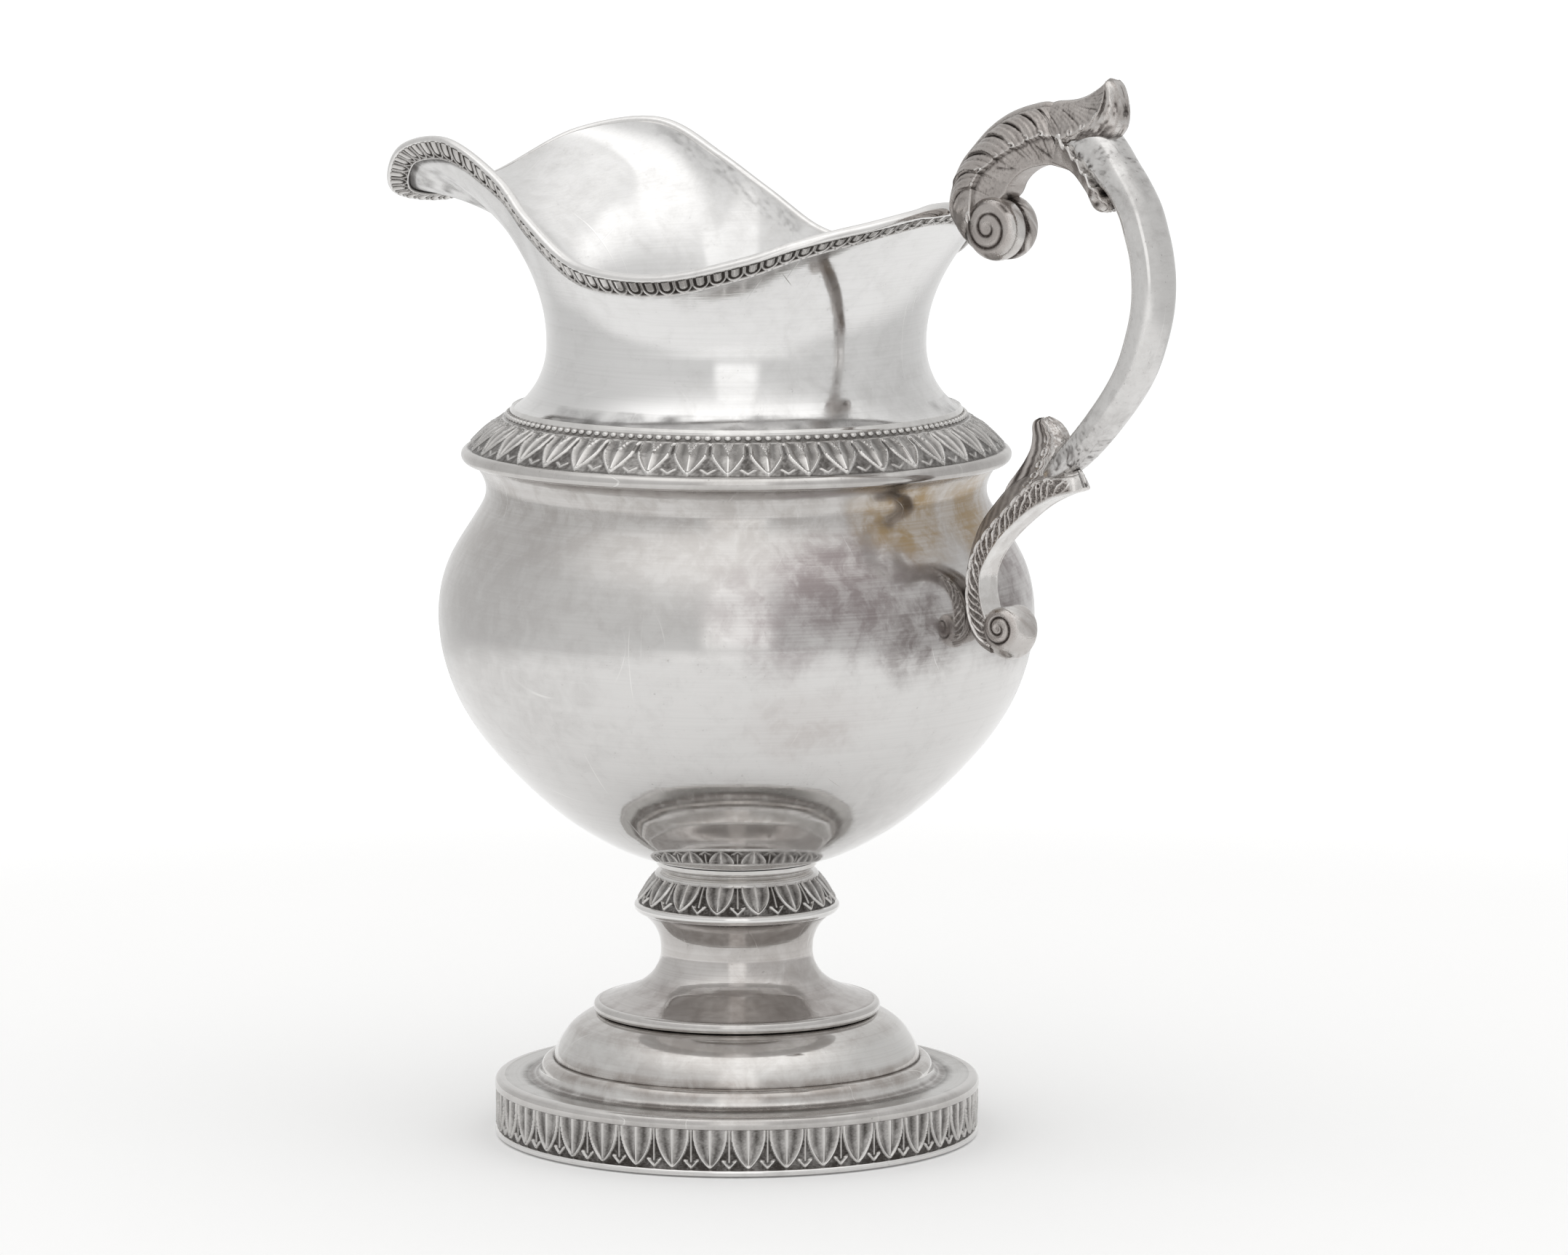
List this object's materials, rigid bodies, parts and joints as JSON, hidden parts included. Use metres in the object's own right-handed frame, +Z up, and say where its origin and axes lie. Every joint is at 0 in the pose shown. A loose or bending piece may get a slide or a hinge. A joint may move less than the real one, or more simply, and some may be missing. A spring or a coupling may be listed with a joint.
{
  "type": "cream jug",
  "caption": "Silver pedestal cream jug: round bowl, flared neck with wavy rim and drooping lip, leaf-band mouldings, round foot and a scrolled acanthus handle.",
  "frame": {"origin": "on the surface it stands on, under the middle of its bounding box", "axes": "+Z up, +X towards the handle, -X towards the spout, +Y across the jug"},
  "size_m": [0.1622, 0.1044, 0.1889],
  "materials": {
    "raised_silver": "old silver sheet with a soft polish, fine scratches and light tarnish",
    "wire_silver": "drawn silver mouldings, rubbed bright",
    "rolled_silver": "die-rolled silver ornament with bright edges and dark tarnished recesses",
    "cast_silver": "cast and chased silver with a grey-brown tarnish"
  },
  "bodies": {
    "root": {"bowl": "raised_silver", "neck": "raised_silver", "rim_listel": "wire_silver", "rim_tongue_band": "rolled_silver", "shoulder_leaf_band": "rolled_silver", "shoulder_edge_wire": "wire_silver", "stem_collar": "raised_silver", "knop_leaf_band": "rolled_silver", "knop_edge_wire": "wire_silver", "stem_spool": "raised_silver", "stem_flange_wire": "wire_silver", "foot_dome": "raised_silver", "foot_step_ring": "wire_silver", "plinth_plate": "raised_silver", "plinth_top_wire": "wire_silver", "plinth_leaf_band": "rolled_silver", "plinth_base_wire": "wire_silver", "handle_grip": "raised_silver", "handle_upper_scroll": "cast_silver", "handle_lower_scroll": "cast_silver"}
  },
  "joints": []
}
